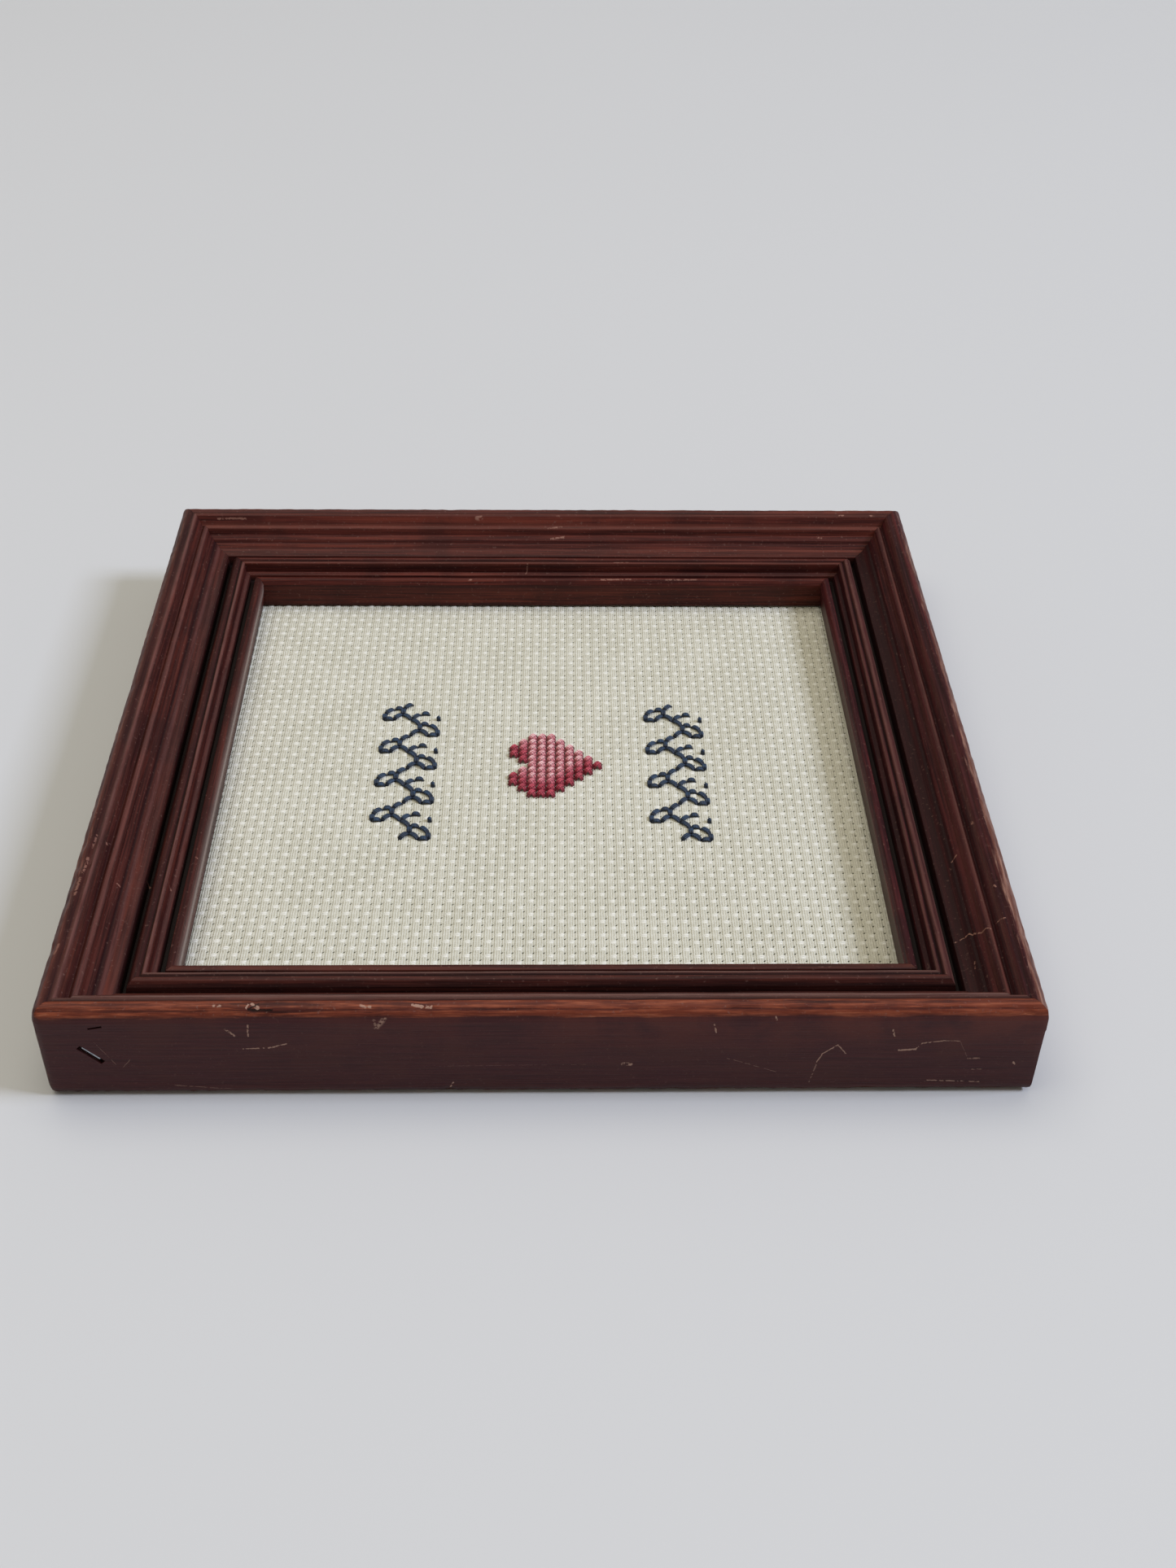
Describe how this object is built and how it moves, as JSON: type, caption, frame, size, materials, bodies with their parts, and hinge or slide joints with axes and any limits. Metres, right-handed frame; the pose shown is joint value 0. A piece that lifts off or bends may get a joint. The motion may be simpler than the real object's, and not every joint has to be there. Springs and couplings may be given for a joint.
{
  "type": "framed cross stitch with moulded wooden frame",
  "caption": "Small square cross stitch on ivory even-weave cloth, held under the lip of a dark stained, moulded wooden frame that lies flat on its back.",
  "frame": {"origin": "centre of the frame's flat back, on the surface that it lies on", "axes": "+Z out of the picture's face, +Y towards the picture's far edge, +X to its right"},
  "size_m": [0.16, 0.16, 0.0193],
  "materials": {
    "frame_wood": "dark red-brown stain, satin, worn to orange-brown along the outer nose",
    "even_weave_cloth": "ivory cotton, matt, woven in squares",
    "navy_thread": "stranded cotton, soft sheen",
    "rose_thread": "stranded cotton, soft sheen, pale pink to crimson",
    "backing_card": "plain grey-brown board, matt",
    "staple_steel": "dull grey wire"
  },
  "bodies": {
    "root": {"rail_near": "frame_wood", "rail_far": "frame_wood", "rail_left": "frame_wood", "rail_right": "frame_wood", "stitched_cloth": "even_weave_cloth", "backing_board": "backing_card", "corner_staple": "staple_steel"}
  },
  "joints": []
}
